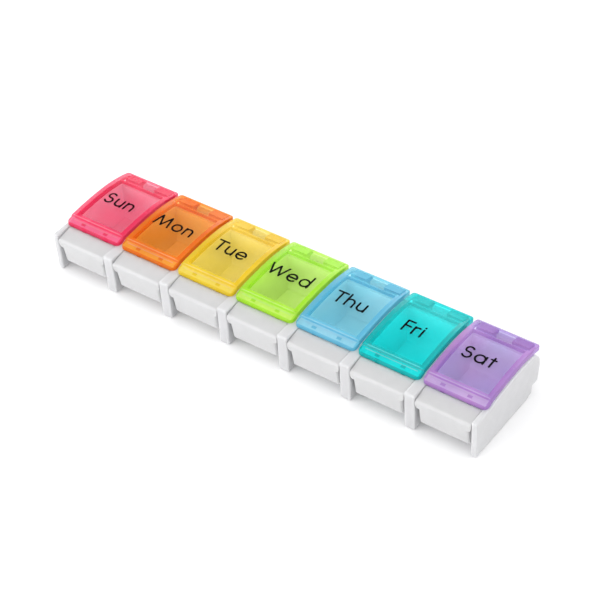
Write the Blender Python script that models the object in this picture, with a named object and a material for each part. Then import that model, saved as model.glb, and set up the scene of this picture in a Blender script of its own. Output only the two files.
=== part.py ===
"""Weekly travel pill organizer: one white tray with seven compartments, seven hinged
translucent lids, and seven rocker push buttons along the front.

Metres, +Z up, resting on Z = 0.  +X runs along the week, -Y is the front (button side).
Profiles are drawn in millimetres in a side view: "across" is measured back from the front
foot of the posts, and "up" from the surface that the tray stands on.
"""

import math

import bmesh
import bpy
from mathutils import Matrix, Vector

MM = 0.001

# ---- layout -------------------------------------------------------------------------
DAYS = ("sun", "mon", "tue", "wed", "thu", "fri", "sat")
PITCH = 32.0  # from one compartment to the next
WALL_HALF = 2.6  # half the thickness of a divider
END_FACE = 112.08  # outer face of an end wall, from the middle
ACROSS_MIDDLE = 25.57  # the middle of the footprint, back from the front foot

# ---- lid ----------------------------------------------------------------------------
LID_HALF = 15.3
LID_FRONT = 6.95
LID_BACK = 52.9
LID_CREST_ACROSS = 34.5
LID_CREST_UP = 26.15
LID_STEP_ACROSS = 11.3  # where the dome steps down to the front lip
LID_BACK_DROP = 2.35  # how far the crown falls from its crest to the back edge
LID_FRONT_DROP = 1.9
LID_FRONT_POWER = 1.8
LID_SHELL = 1.25
LID_RIM = 2.6  # height of the side rim
LID_RIM_WALL = 1.2
LIP_UNDER = 21.1
SKIRT_HALF = 13.1  # outer half-width of the rib that runs round under the shell
SKIRT_WALL = 1.0
SKIRT_DEPTH = 1.2
SKIRT_BACK = 45.2
LUG_INNER = 4.4
LUG_OUTER = 12.9
LUG_FRONT = 47.5
HOOK_MIDDLE = 6.4
HOOK_HALF = 0.9

# ---- hinge --------------------------------------------------------------------------
HINGE_ACROSS = 51.1
HINGE_UP = 21.1
LUG_RADIUS = 1.7
KNUCKLE_RADIUS = 1.55
KNUCKLE_HALF = 4.0
PIN_RADIUS = 0.6
PIN_HALF = 12.4
PIN_GAP = 0.3

# ---- tray ---------------------------------------------------------------------------
FRONT_WALL = 9.7  # front face of the wall between the button bay and the compartment
PLATE = 1.2  # thickness of that wall and of the wall behind the compartment
FRONT_WALL_TOP = 20.6
BACK_WALL = 45.6
BACK_WALL_TOP = 21.0
FLOOR = 1.5
FILLET = 1.0  # round where the floor meets the front and back walls of a compartment
RAIL_TOP = 18.7
CORNER_ACROSS = 43.5  # centre and radius of the round at the top of the back
CORNER_UP = 13.2
CORNER_RADIUS = 9.5
SEAT_GAP = 0.3  # between the lid's rim and the top of a divider

# ---- button -------------------------------------------------------------------------
CAP_HALF = 13.05
APRON_HALF = 11.55
BUTTON_WALL = 1.3
CAP_SKIN = 1.2
CAP_BACK = 7.4  # the cap's back edge, just under the lid's lip
NOSE = (-1.8, 18.3)
APRON_FOOT = (1.2, 5.3)
WING_UNDER = 14.2
CAP_PROUD = 0.15  # how far the cap stands in front of the apron
PIVOT_ACROSS = 7.25
PIVOT_UP = 15.75
TRUNNION_RADIUS = 1.1
TRUNNION_END = 14.5
SOCKET_RADIUS = 1.4
SOCKET_END = 14.8

# ---- return spring ------------------------------------------------------------------
SPRING_ACROSS = 4.6
SPRING_RADIUS = 1.45
SPRING_WIRE = 0.22
SPRING_LOW = 10.72
SPRING_HIGH = 17.6
SPRING_TURNS = 5
SHELF_TOP = 10.2
PEG_RADIUS = 0.9

LID_COLOURS = {
    "sun": (0.95, 0.09, 0.22),
    "mon": (0.98, 0.24, 0.03),
    "tue": (0.98, 0.72, 0.05),
    "wed": (0.45, 0.85, 0.05),
    "thu": (0.15, 0.56, 0.80),
    "fri": (0.01, 0.60, 0.52),
    "sat": (0.46, 0.24, 0.66),
}


# ---- helpers ------------------------------------------------------------------------
def clear_scene():
    """Remove every object that the scene starts with."""
    for obj in list(bpy.data.objects):
        bpy.data.objects.remove(obj, do_unlink=True)


def place(x, across, up):
    """A point in metres from along, across and up in millimetres."""
    return Vector((x * MM, (across - ACROSS_MIDDLE) * MM, up * MM))


def arc(across, up, radius, start, end, steps):
    """Points along a circular arc in the side view, with angles in degrees."""
    points = []
    for i in range(steps + 1):
        angle = math.radians(start + (end - start) * i / steps)
        points.append((across + radius * math.cos(angle), up + radius * math.sin(angle)))
    return points


def crown(across):
    """Height of the lid's domed top."""
    if across < LID_CREST_ACROSS:
        share = (LID_CREST_ACROSS - across) / (LID_CREST_ACROSS - LID_STEP_ACROSS)
        return LID_CREST_UP - LID_FRONT_DROP * share**LID_FRONT_POWER
    share = (across - LID_CREST_ACROSS) / (LID_BACK - LID_CREST_ACROSS)
    return LID_CREST_UP - LID_BACK_DROP * share**2


def crown_points(start, end, steps, lower=0.0):
    """Points along the crown, moved down by a fixed amount."""
    points = []
    for i in range(steps + 1):
        across = start + (end - start) * i / steps
        points.append((across, crown(across) - lower))
    return points


def prism(outline, x0, x1):
    """A bmesh made by drawing a side-view outline along X."""
    bm = bmesh.new()
    first = [bm.verts.new(place(x0, a, u)) for a, u in outline]
    second = [bm.verts.new(place(x1, a, u)) for a, u in outline]
    bm.faces.new(first)
    bm.faces.new(second)
    count = len(outline)
    for i in range(count):
        j = (i + 1) % count
        bm.faces.new((first[i], first[j], second[j], second[i]))
    bmesh.ops.recalc_face_normals(bm, faces=bm.faces)
    return bm


def block(x0, x1, across0, across1, up0, up1):
    """A bmesh box."""
    outline = [(across0, up0), (across1, up0), (across1, up1), (across0, up1)]
    return prism(outline, x0, x1)


def rod_x(x0, x1, across, up, radius, sides):
    """A bmesh cylinder along X."""
    return prism(arc(across, up, radius, 0, 360 - 360 / sides, sides - 1), x0, x1)


def rod_z(x, across, radius, up0, up1, sides):
    """A bmesh cylinder along Z."""
    bm = bmesh.new()
    middle = place(x, across, (up0 + up1) / 2)
    bmesh.ops.create_cone(
        bm,
        cap_ends=True,
        segments=sides,
        radius1=radius * MM,
        radius2=radius * MM,
        depth=(up1 - up0) * MM,
        matrix=Matrix.Translation(middle),
    )
    return bm


def round_plan(half, front, back, front_radius, back_radius, up0, up1):
    """A block with rounded corners in plan, drawn along Z."""
    outline = []
    corners = (
        (half, back, back_radius, 0),
        (-half, back, back_radius, 90),
        (-half, front, front_radius, 180),
        (half, front, front_radius, 270),
    )
    for x, across, radius, start in corners:
        middle_x = x - math.copysign(radius, x)
        middle_across = across - radius if across == back else across + radius
        outline += arc(middle_x, middle_across, radius, start, start + 90, 4)
    bm = bmesh.new()
    low = [bm.verts.new(place(x, a, up0)) for x, a in outline]
    high = [bm.verts.new(place(x, a, up1)) for x, a in outline]
    bm.faces.new(low)
    bm.faces.new(high)
    count = len(outline)
    for i in range(count):
        j = (i + 1) % count
        bm.faces.new((low[i], low[j], high[j], high[i]))
    bmesh.ops.recalc_face_normals(bm, faces=bm.faces)
    return bm


def bevel_where(bm, test, offset, segments):
    """Round the edges for which test(side-view middle, direction) is true."""
    bm.normal_update()
    chosen = []
    for edge in bm.edges:
        middle = (edge.verts[0].co + edge.verts[1].co) / 2
        along = (edge.verts[1].co - edge.verts[0].co).normalized()
        if test((middle.y / MM + ACROSS_MIDDLE, middle.z / MM), along):
            chosen.append(edge)
    bmesh.ops.bevel(
        bm,
        geom=chosen,
        offset=offset * MM,
        segments=segments,
        profile=0.5,
        affect="EDGES",
        clamp_overlap=True,
    )


def to_object(name, bm):
    """Turn a bmesh into an object in the scene."""
    mesh = bpy.data.meshes.new(name)
    bm.to_mesh(mesh)
    bm.free()
    obj = bpy.data.objects.new(name, mesh)
    bpy.context.scene.collection.objects.link(obj)
    return obj


def joined(pieces):
    """One bmesh that holds several."""
    whole = bmesh.new()
    for bm in pieces:
        mesh = bpy.data.meshes.new("piece")
        bm.to_mesh(mesh)
        bm.free()
        whole.from_mesh(mesh)
        bpy.data.meshes.remove(mesh)
    return whole


def combine(obj, pieces, operation):
    """Apply one exact Boolean to obj, with every piece in a single operand."""
    other = to_object("operand", joined(pieces))
    modifier = obj.modifiers.new(operation, "BOOLEAN")
    modifier.operation = operation
    modifier.solver = "EXACT"
    modifier.object = other
    bpy.context.view_layer.update()
    graph = bpy.context.evaluated_depsgraph_get()
    result = bpy.data.meshes.new_from_object(obj.evaluated_get(graph))
    obj.modifiers.clear()
    obj.data = result
    bpy.data.objects.remove(other, do_unlink=True)


def tidy(mesh, sharp_degrees=35.0):
    """Dissolve leftover points, then shade smooth with sharp edges kept."""
    bm = bmesh.new()
    bm.from_mesh(mesh)
    bmesh.ops.remove_doubles(bm, verts=bm.verts, dist=0.000002)
    bmesh.ops.dissolve_limit(
        bm,
        angle_limit=math.radians(0.2),
        verts=bm.verts,
        edges=bm.edges,
    )
    bmesh.ops.triangulate(bm, faces=bm.faces)
    bmesh.ops.recalc_face_normals(bm, faces=bm.faces)
    for face in bm.faces:
        face.smooth = True
    for edge in bm.edges:
        if len(edge.link_faces) == 2:
            edge.smooth = edge.calc_face_angle() < math.radians(sharp_degrees)
    bm.to_mesh(mesh)
    bm.free()


def make_material(name, colour, roughness, metallic=0.0):
    """A plain Principled material."""
    material = bpy.data.materials.new(name)
    material.use_nodes = True
    shader = material.node_tree.nodes["Principled BSDF"]
    shader.inputs["Base Color"].default_value = (*colour, 1.0)
    shader.inputs["Roughness"].default_value = roughness
    shader.inputs["Metallic"].default_value = metallic
    return material


def copy_at(name, master, x, origin, material):
    """A copy of the middle piece, moved along X, with its origin on its joint's axis."""
    mesh = master.data.copy()
    mesh.name = name
    mesh.transform(Matrix.Translation(-origin))
    mesh.materials.clear()
    mesh.materials.append(material)
    obj = bpy.data.objects.new(name, mesh)
    obj.location = origin + Vector((x * MM, 0.0, 0.0))
    bpy.context.scene.collection.objects.link(obj)
    return obj


def middle_of(index):
    """Where a compartment's middle is along X."""
    return (index - 3) * PITCH


# ---- tray ---------------------------------------------------------------------------
def wall_outline():
    """Side view of a divider: sloped post in front, crowned top, big round at the back."""
    outline = [(0.8, 0.0), (0.0, 0.8), (-1.85, 20.1), (-1.35, 20.6)]
    outline += [(LID_STEP_ACROSS - 1.1, LIP_UNDER - SEAT_GAP)]
    outline += crown_points(LID_STEP_ACROSS + 1.1, CORNER_ACROSS, 8, LID_RIM + SEAT_GAP)
    top = CORNER_UP + CORNER_RADIUS
    outline[-1] = (CORNER_ACROSS, top)
    outline += arc(CORNER_ACROSS, CORNER_UP, CORNER_RADIUS, 90, 0, 8)[1:]
    outline += [(52.4, 5.6), (51.8, 5.0), (47.5, 5.0), (47.3, 1.2), (46.2, 0.0)]
    return outline


def trough_outline():
    """Side view of the trough: front wall, floor, back wall and hinge rail."""
    back = CORNER_ACROSS + math.sqrt(CORNER_RADIUS**2 - (RAIL_TOP - CORNER_UP) ** 2)
    start = math.degrees(math.atan2(RAIL_TOP - CORNER_UP, back - CORNER_ACROSS))
    inner_front = FRONT_WALL + PLATE
    outline = [(FRONT_WALL, 0.0), (46.2, 0.0), (47.3, 1.2), (47.5, 5.0), (51.8, 5.0), (52.4, 5.6)]
    outline += arc(CORNER_ACROSS, CORNER_UP, CORNER_RADIUS, 0, start, 3)
    outline += [(BACK_WALL + PLATE, RAIL_TOP), (BACK_WALL + PLATE, BACK_WALL_TOP)]
    outline += [(BACK_WALL, BACK_WALL_TOP)]
    outline += arc(BACK_WALL - FILLET, FLOOR + FILLET, FILLET, 0, -90, 2)
    outline += arc(inner_front + FILLET, FLOOR + FILLET, FILLET, 270, 180, 2)
    outline += [(inner_front, FRONT_WALL_TOP), (FRONT_WALL, FRONT_WALL_TOP)]
    return outline


def knuckle_outline():
    """Side view of the tray's hinge knuckle, standing on the rail."""
    outline = [(HINGE_ACROSS - 2.6, RAIL_TOP - 0.6), (51.0, RAIL_TOP - 0.6)]
    outline += arc(HINGE_ACROSS, HINGE_UP, KNUCKLE_RADIUS, -50, 180, 10)
    return outline


def shelf_outline():
    """Side view of the small bracket that carries the return spring."""
    return [
        (SPRING_ACROSS - 2.0, SHELF_TOP - 1.2),
        (FRONT_WALL - 2.2, SHELF_TOP - 1.2),
        (FRONT_WALL + 0.5, SHELF_TOP - 4.0),
        (FRONT_WALL + 0.5, SHELF_TOP),
        (SPRING_ACROSS - 2.0, SHELF_TOP),
    ]


def build_wall(x0, x1):
    """One divider or end wall, with soft edges round its post."""
    bm = prism(wall_outline(), x0, x1)

    def on_post(middle, along):
        return abs(along.x) < 0.5 and middle[0] < 7.0 and middle[1] > 0.2

    bevel_where(bm, on_post, 0.75, 2)
    return bm


def build_tray():
    """The base: walls, trough, hinge knuckles and spring brackets, cored from below."""
    tray = to_object("base_tray", prism(trough_outline(), -END_FACE + 0.9, END_FACE - 0.9))
    edges = [(index - 3.5) * PITCH for index in range(1, len(DAYS))]
    walls = [build_wall(x - WALL_HALF, x + WALL_HALF) for x in edges]
    end_inner = 3.5 * PITCH - WALL_HALF
    walls.append(build_wall(-END_FACE, -end_inner))
    walls.append(build_wall(end_inner, END_FACE))
    combine(tray, walls, "UNION")

    added = []
    pegs = []
    cores = []
    for index in range(len(DAYS)):
        x = middle_of(index)
        added.append(prism(knuckle_outline(), x - KNUCKLE_HALF, x + KNUCKLE_HALF))
        added.append(prism(shelf_outline(), x - 2.4, x + 2.4))
        pegs.append(rod_z(x, SPRING_ACROSS, PEG_RADIUS, SHELF_TOP - 0.6, SHELF_TOP + 1.2, 10))
        hole = PIN_RADIUS + PIN_GAP
        cores.append(rod_x(x - 5.0, x + 5.0, HINGE_ACROSS, HINGE_UP, hole, 12))
        cores.append(block(x - 12.4, x + 12.4, 48.1, 51.2, 4.0, 17.0))
        for side in (-1, 1):
            inner = x + side * 13.0
            outer = x + side * SOCKET_END
            cores.append(
                rod_x(
                    min(inner, outer),
                    max(inner, outer),
                    PIVOT_ACROSS,
                    PIVOT_UP,
                    SOCKET_RADIUS,
                    12,
                )
            )
    for x in edges:
        cores.append(block(x - 1.4, x + 1.4, 11.2, 44.0, -1.0, 19.6))
    combine(tray, added, "UNION")
    combine(tray, pegs, "UNION")
    combine(tray, cores, "DIFFERENCE")
    tidy(tray.data)
    tray.data.materials.clear()
    tray.data.materials.append(make_material("tray_white", (0.86, 0.86, 0.87), 0.38))
    return tray


# ---- lid ----------------------------------------------------------------------------
def lid_outline():
    """Side view of the lid's outer form, closed along the bottom of its rim."""
    outline = [(LID_FRONT + 0.35, LIP_UNDER), (LID_FRONT, LIP_UNDER + 0.35)]
    outline += [(LID_FRONT, 22.05), (LID_FRONT + 0.45, 22.55)]
    outline += [(LID_STEP_ACROSS - 0.6, 23.4)]
    outline += crown_points(LID_STEP_ACROSS, LID_BACK - 0.5, 12)
    outline += [(LID_BACK, crown(LID_BACK) - 0.4), (LID_BACK, crown(LID_BACK) - LID_RIM)]
    outline += reversed(crown_points(LID_STEP_ACROSS + 0.9, LID_BACK - 0.6, 8, LID_RIM))
    outline += [(LID_STEP_ACROSS - 0.9, LIP_UNDER)]
    return outline


def lid_hollow_outline():
    """Side view of the space under the lid's shell."""
    front = LID_STEP_ACROSS + 0.2
    back = LID_BACK - LID_RIM_WALL
    outline = [(front, 15.0), (back, 15.0)]
    outline += reversed(crown_points(front, back, 8, LID_SHELL))
    return outline


def lug_outline():
    """Side view of a hinge lug: a block with a round underside about the pin."""
    outline = [(LUG_FRONT, HINGE_UP - 0.7)]
    outline += arc(HINGE_ACROSS, HINGE_UP, LUG_RADIUS, 230, 350, 7)
    outline += [(HINGE_ACROSS + 1.3, crown(HINGE_ACROSS + 1.3) - 0.6)]
    outline += [(LUG_FRONT, crown(LUG_FRONT) - 0.6)]
    return outline


def hook_outline():
    """Side view of a latch hook under the front lip."""
    return [
        (8.7, LIP_UNDER + 0.6),
        (8.7, 19.5),
        (8.45, 19.1),
        (8.45, 18.7),
        (8.9, 18.2),
        (9.4, 18.7),
        (9.4, LIP_UNDER + 0.6),
    ]


def build_lid():
    """The lid in the middle of the row: shell, rim, skirt, lugs and hooks in one piece."""
    lid = to_object("lid_master", prism(lid_outline(), -LID_HALF - 1.0, LID_HALF + 1.0))
    plan = round_plan(LID_HALF, LID_FRONT - 0.01, LID_BACK + 0.01, 2.4, 1.4, 10.0, 40.0)
    combine(lid, [plan], "INTERSECT")
    half = LID_HALF - LID_RIM_WALL
    combine(lid, [prism(lid_hollow_outline(), -half, half)], "DIFFERENCE")

    front = LID_STEP_ACROSS
    outline = crown_points(front, SKIRT_BACK, 6, LID_SHELL + SKIRT_DEPTH)
    outline += reversed(crown_points(front, SKIRT_BACK, 6, 0.6))
    skirt = to_object("skirt", prism(outline, -SKIRT_HALF, SKIRT_HALF))
    inner = SKIRT_HALF - SKIRT_WALL
    opening = block(-inner, inner, front + SKIRT_WALL, SKIRT_BACK - SKIRT_WALL, 10.0, 40.0)
    combine(skirt, [opening], "DIFFERENCE")
    skirt_bm = bmesh.new()
    skirt_bm.from_mesh(skirt.data)
    bpy.data.objects.remove(skirt, do_unlink=True)
    combine(lid, [skirt_bm], "UNION")

    knuckle_gap = KNUCKLE_HALF + 0.35
    notch = block(-knuckle_gap, knuckle_gap, SKIRT_BACK + 1.2, LID_BACK + 1.0, 15.0, HINGE_UP + 1.9)
    combine(lid, [notch], "DIFFERENCE")
    lugs = [prism(lug_outline(), side * LUG_INNER, side * LUG_OUTER) for side in (-1, 1)]
    hooks = [
        prism(hook_outline(), side * HOOK_MIDDLE - HOOK_HALF, side * HOOK_MIDDLE + HOOK_HALF)
        for side in (-1, 1)
    ]
    combine(lid, lugs + hooks, "UNION")
    hole = PIN_RADIUS + PIN_GAP
    bore = rod_x(-SKIRT_HALF - 0.3, SKIRT_HALF + 0.3, HINGE_ACROSS, HINGE_UP, hole, 12)
    combine(lid, [bore], "DIFFERENCE")
    tidy(lid.data)
    return lid


# ---- button -------------------------------------------------------------------------
def front_at(up):
    """How far across the button's sloped front face is at a height."""
    share = (up - APRON_FOOT[1]) / (NOSE[1] - APRON_FOOT[1])
    return APRON_FOOT[0] + share * (NOSE[0] - APRON_FOOT[0])


def body_outline():
    """Side view of the button's narrow body, from the apron's foot back to the pivot."""
    outline = [(APRON_FOOT[0], APRON_FOOT[1]), (front_at(17.6), 17.6)]
    outline += [(1.0, 18.6), (7.0, 19.6)]
    outline += arc(PIVOT_ACROSS, PIVOT_UP, 1.9, 35, -50, 4)
    outline += [(5.4, 11.6), (3.6, APRON_FOOT[1])]
    return outline


def cap_outline():
    """Side view of the full-width cap: sloped top, blunt nose and short front."""
    skin = CAP_SKIN
    return [
        (front_at(WING_UNDER) - CAP_PROUD, WING_UNDER),
        (front_at(17.9) - CAP_PROUD, 17.9),
        (NOSE[0] + 0.15, NOSE[1] + 0.05),
        (NOSE[0] + 0.75, NOSE[1] + 0.35),
        (5.4, 20.2),
        (CAP_BACK, 20.4),
        (CAP_BACK, 20.4 - skin),
        (5.5, 20.2 - skin),
        (NOSE[0] + 1.6, NOSE[1] - 0.75),
        (front_at(WING_UNDER) + 1.1, WING_UNDER),
    ]


def build_button():
    """The button in the middle of the row: cap, apron, cheeks, trunnions and peg."""
    bm = prism(body_outline(), -APRON_HALF, APRON_HALF)

    def front_corner(middle, along):
        lies_in_front = middle[0] < front_at(middle[1]) + 0.05
        return lies_in_front and abs(along.x) < 0.5 and abs(along.z) > 0.9

    bevel_where(bm, front_corner, 1.5, 3)
    button = to_object("button_master", bm)
    inner = APRON_HALF - BUTTON_WALL
    hollow = [
        (front_at(0.0) + BUTTON_WALL, 0.0),
        (front_at(18.0) + BUTTON_WALL, 18.0),
        (front_at(18.0) + BUTTON_WALL, 24.0),
        (12.0, 24.0),
        (12.0, 0.0),
    ]
    combine(button, [prism(hollow, -inner, inner)], "DIFFERENCE")
    combine(button, [prism(cap_outline(), -CAP_HALF, CAP_HALF)], "UNION")
    stubs = []
    for side in (-1, 1):
        ends = sorted((side * (inner + 0.3), side * TRUNNION_END))
        stubs.append(rod_x(ends[0], ends[1], PIVOT_ACROSS, PIVOT_UP, TRUNNION_RADIUS, 12))
    stubs.append(rod_z(0.0, SPRING_ACROSS, PEG_RADIUS, 17.2, 19.4, 10))
    combine(button, stubs, "UNION")
    tidy(button.data)
    return button


# ---- pin and spring -----------------------------------------------------------------
def build_pin():
    """A hinge pin: a short wire with chamfered ends."""
    sides = 12
    rings = (
        (-PIN_HALF, PIN_RADIUS - 0.2),
        (-PIN_HALF + 0.2, PIN_RADIUS),
        (PIN_HALF - 0.2, PIN_RADIUS),
        (PIN_HALF, PIN_RADIUS - 0.2),
    )
    bm = bmesh.new()
    loops = []
    for x, radius in rings:
        circle = arc(HINGE_ACROSS, HINGE_UP, radius, 0, 360 - 360 / sides, sides - 1)
        loops.append([bm.verts.new(place(x, a, u)) for a, u in circle])
    bm.faces.new(loops[0])
    bm.faces.new(loops[-1])
    for first, second in zip(loops, loops[1:]):
        for i in range(sides):
            j = (i + 1) % sides
            bm.faces.new((first[i], first[j], second[j], second[i]))
    bmesh.ops.recalc_face_normals(bm, faces=bm.faces)
    pin = to_object("pin_master", bm)
    tidy(pin.data)
    return pin


def build_spring():
    """A compression coil: a five-sided wire swept round a helix, with capped ends."""
    sides = 5
    per_turn = 10
    steps = SPRING_TURNS * per_turn
    bm = bmesh.new()
    loops = []
    for i in range(steps + 1):
        share = i / steps
        # the end turns lie flat, so the pitch eases in and out
        eased = share - math.sin(2 * math.pi * share) / (2 * math.pi)
        up = SPRING_LOW + (SPRING_HIGH - SPRING_LOW) * (0.35 * eased + 0.65 * share)
        angle = 2 * math.pi * SPRING_TURNS * share
        ring = []
        for k in range(sides):
            turn = 2 * math.pi * k / sides
            radius = SPRING_RADIUS + SPRING_WIRE * math.cos(turn)
            x = radius * math.cos(angle)
            across = SPRING_ACROSS + radius * math.sin(angle)
            ring.append(bm.verts.new(place(x, across, up + SPRING_WIRE * math.sin(turn))))
        loops.append(ring)
    bm.faces.new(loops[0])
    bm.faces.new(loops[-1])
    for first, second in zip(loops, loops[1:]):
        for k in range(sides):
            j = (k + 1) % sides
            bm.faces.new((first[k], first[j], second[j], second[k]))
    bmesh.ops.recalc_face_normals(bm, faces=bm.faces)
    spring = to_object("spring_master", bm)
    tidy(spring.data, 80.0)
    return spring


# ---- assembly -----------------------------------------------------------------------
def main():
    clear_scene()
    build_tray()
    lid = build_lid()
    button = build_button()
    pin = build_pin()
    spring = build_spring()
    hinge = place(0.0, HINGE_ACROSS, HINGE_UP)
    pivot = place(0.0, PIVOT_ACROSS, PIVOT_UP)
    spring_foot = place(0.0, SPRING_ACROSS, SPRING_LOW)
    white = make_material("button_white", (0.88, 0.88, 0.89), 0.36)
    steel = make_material("pin_steel", (0.62, 0.63, 0.65), 0.30, 1.0)
    wire = make_material("spring_steel", (0.55, 0.56, 0.58), 0.28, 1.0)
    for index, day in enumerate(DAYS):
        x = middle_of(index)
        tint = make_material("lid_" + day, LID_COLOURS[day], 0.22)
        copy_at("lid_" + day, lid, x, hinge, tint)
        copy_at("button_" + day, button, x, pivot, white)
        copy_at("hinge_pin_" + day, pin, x, hinge, steel)
        copy_at("button_spring_" + day, spring, x, spring_foot, wire)
    for master in (lid, button, pin, spring):
        bpy.data.objects.remove(master, do_unlink=True)


main()
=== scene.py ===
"""Looks for a weekly travel pill organizer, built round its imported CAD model.

Lengths are millimetres in the CAD's own side view: "across" runs back from the front foot of
the posts, "up" from the surface the tray stands on.  point() turns them into world metres.
"""

import math

import bmesh
import bpy
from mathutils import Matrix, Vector
from mathutils.geometry import delaunay_2d_cdt


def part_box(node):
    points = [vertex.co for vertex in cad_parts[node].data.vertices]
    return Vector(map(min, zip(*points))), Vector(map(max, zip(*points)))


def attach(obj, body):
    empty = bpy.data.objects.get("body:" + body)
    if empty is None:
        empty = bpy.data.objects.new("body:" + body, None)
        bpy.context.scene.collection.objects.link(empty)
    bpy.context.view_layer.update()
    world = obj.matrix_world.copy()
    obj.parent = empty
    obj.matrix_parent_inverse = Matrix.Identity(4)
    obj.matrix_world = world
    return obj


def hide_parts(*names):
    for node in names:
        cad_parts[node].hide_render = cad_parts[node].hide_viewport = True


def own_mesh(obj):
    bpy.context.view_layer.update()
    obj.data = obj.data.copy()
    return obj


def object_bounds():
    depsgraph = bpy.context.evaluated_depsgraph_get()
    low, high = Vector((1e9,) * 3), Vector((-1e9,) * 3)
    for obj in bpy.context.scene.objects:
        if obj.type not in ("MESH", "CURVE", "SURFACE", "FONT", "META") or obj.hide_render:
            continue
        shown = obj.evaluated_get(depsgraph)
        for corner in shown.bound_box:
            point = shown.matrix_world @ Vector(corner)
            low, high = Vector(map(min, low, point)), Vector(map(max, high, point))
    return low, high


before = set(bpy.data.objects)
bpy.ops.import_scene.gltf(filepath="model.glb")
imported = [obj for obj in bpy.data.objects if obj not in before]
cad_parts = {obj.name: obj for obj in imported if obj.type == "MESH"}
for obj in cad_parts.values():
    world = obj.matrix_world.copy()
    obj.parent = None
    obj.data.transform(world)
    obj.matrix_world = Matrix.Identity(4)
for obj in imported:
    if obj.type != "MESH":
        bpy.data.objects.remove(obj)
cad_low, cad_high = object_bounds()

MM = 0.001
DAYS = ("sun", "mon", "tue", "wed", "thu", "fri", "sat")

# ---- tray sizes -------------------------------------------------------------------------
WALL_HALF = 2.6  # dividers, half their thickness
PLATE = 1.2  # front, back and floor walls of the trough
FRONT_WALL = 9.7
FRONT_WALL_TOP = 20.6
BACK_WALL = 45.6
BACK_WALL_TOP = 21.0
FLOOR = 1.5
FILLET = 1.0
RAIL_TOP = 18.7
CORNER = (43.5, 13.2)  # centre of the big round at the back
CORNER_RADIUS = 9.5
UNDERCUT = [(52.4, 5.6), (52.2, 5.2), (51.8, 5.0), (47.5, 5.0), (47.3, 1.2)]  # step at the back
FOOT_BACK = 46.2
TRAY_EDGE = 0.9  # largest rounding of the posts
POST_EDGE = 0.8  # how far back the full rounding reaches
FINE_EDGE = 0.35  # rounding of a divider behind its post
WALL_CORE_HALF = 1.4  # hollow in each divider, open below
WALL_CORE = (11.2, 44.0, -1.0, 19.6)  # across from and to, up from and to
BACK_CORE_HALF = 12.4  # hollow behind each back wall
BACK_CORE = (48.1, 51.2, 4.0, 17.0)
SOCKET_RADIUS = 1.4  # for a button's trunnion
SOCKET_ENDS = (13.0, 14.8)
OVERLAP = 0.6  # how deep a part that joins another starts inside it

# ---- lid sizes --------------------------------------------------------------------------
LID_HALF = 15.3
LID_FRONT = 6.95
LID_BACK = 52.9
CREST = (34.5, 26.15)
STEP = 11.3  # where the lip meets the crown
BACK_DROP = 2.35
FRONT_DROP = 1.9
FRONT_POWER = 1.8
LIP_TOP = 22.5
LIP_SLOPE = 0.24
RISER = 0.6
SHELL = 1.25
RIM = 2.6
RIM_WALL = 1.2
LID_CORNERS = (2.4, 1.4)  # radii in plan, front and back
MOUTH_CORNERS = (1.2, 0.8)  # the same inside the rim
FOOT_ROUND = ((0.25, 0.0), (0.07, 0.07), (0.0, 0.25))  # up and in, round the rim's lower edge
RIM_RISE = 1.8  # length over which the rim's foot climbs from the lip to the crown
EDGE_RADIUS = 0.42
LIP_UNDER = 20.85  # 0.25 below the CAD's, so that the lip looks as thick as it should
WINDOW_HALF = 12.6
WINDOW_FRONT = STEP + 2.0
PAINTED_HIGHLIGHT_STRIPS = ((9.7, 10.2), (11.4, 11.7))  # flat strips along the lip painted paler: painted highlight lines, where the real lid's step edges catch the light
HOOK_MIDDLE = 6.4
HOOK_HALF = 0.9
HOOK_MARK = (8.2, 9.6)  # where a hook shows through the lip
RIB_HALF = 13.1
RIB_BACK = 45.2
RIB_DEPTH = 1.2
RIB_WALL = 0.6
RIB_EDGE = 0.12

HINGE = (51.1, 21.1)
LUG_RADIUS = 1.7
LUG_INNER = 4.4
LUG_OUTER = 12.9
LUG_FRONT = 47.5
KNUCKLE_RADIUS = 1.55
KNUCKLE_HALF = 4.0
NOTCH_HALF = KNUCKLE_HALF + 0.4
NOTCH_FRONT = RIB_BACK + 1.2
NOTCH_TOP = HINGE[1] + 1.9
PIN_RADIUS = 0.6
PIN_GAP = 0.3
BORE_RADIUS = PIN_RADIUS + PIN_GAP

# ---- button and spring sizes ------------------------------------------------------------
CAP_HALF = 13.22  # 0.17 wider on each side than the CAD's, for a finer gap to the posts
APRON_HALF = 12.1  # 0.55 wider on each side than the CAD's
BUTTON_WALL = 1.3
CAP_SKIN = 1.2
CAP_BACK = 7.4
NOSE = (-1.8, 18.3)
APRON_FOOT = (1.2, 5.3)
WING_UNDER = 14.2
PIVOT = (7.25, 15.75)
TRUNNION_RADIUS = 1.1
TRUNNION_END = 14.5
BEYOND = (-6.0, 12.0)  # across, in front of and behind the whole button
ABOVE = 24.0  # up, over the whole button

SPRING_ACROSS = 4.6
SPRING_LOW = 10.72
SPRING_HIGH = 17.6
SHELF_TOP = 10.2
SHELF_HALF = 2.4
PEG_RADIUS = 0.9
PEG_CHAMFER = 0.2

ACROSS_MIDDLE = LID_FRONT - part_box("lid_wed")[0].y / MM  # what lies on the world's Y = 0
END_FACE = cad_high.x / MM


def day_middle(day):
    """Where a compartment's middle is along X."""
    low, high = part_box("lid_" + day)
    return (low.x + high.x) / 2 / MM


PITCH = day_middle("thu") - day_middle("wed")


# ---- mesh helpers -----------------------------------------------------------------------
def point(x, across, up):
    """A point in world metres."""
    return Vector((x * MM, (across - ACROSS_MIDDLE) * MM, up * MM))


def bow(x, y, rx, ry, start, end, steps=16):
    """Points along part of an ellipse, with angles in degrees."""
    points = []
    for i in range(steps + 1):
        angle = math.radians(start + (end - start) * i / steps)
        points.append((x + rx * math.cos(angle), y + ry * math.sin(angle)))
    return points


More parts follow.
